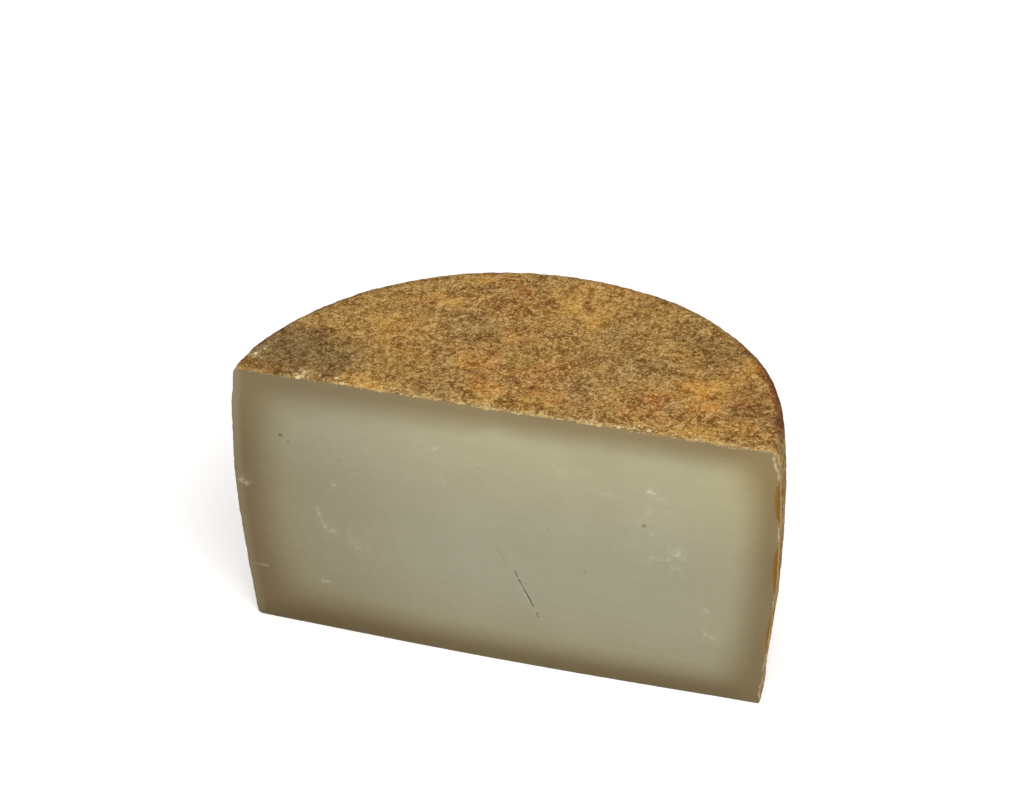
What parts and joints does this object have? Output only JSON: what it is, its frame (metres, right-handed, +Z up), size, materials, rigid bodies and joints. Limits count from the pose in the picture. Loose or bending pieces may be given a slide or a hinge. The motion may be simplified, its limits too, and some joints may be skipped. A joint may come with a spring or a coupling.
{
  "type": "half wheel of hard sheep's cheese",
  "caption": "Half wheel of aged hard sheep's cheese, cut through the middle, standing on its flat base.",
  "frame": {"origin": "middle of the base's bounding rectangle, on the flat base, halfway between the cut face and the back of the wheel", "axes": "+Z up along the wheel's axis; the cut face looks along -Y and runs along X"},
  "size_m": [0.237, 0.1185, 0.126],
  "materials": {
    "rind": "rough brushed natural rind, mottled ochre, brown and grey",
    "paste": "smooth wire-cut paste, slightly translucent, darker band under the rind"
  },
  "bodies": {
    "root": {"half_wheel": "rind"}
  },
  "joints": []
}
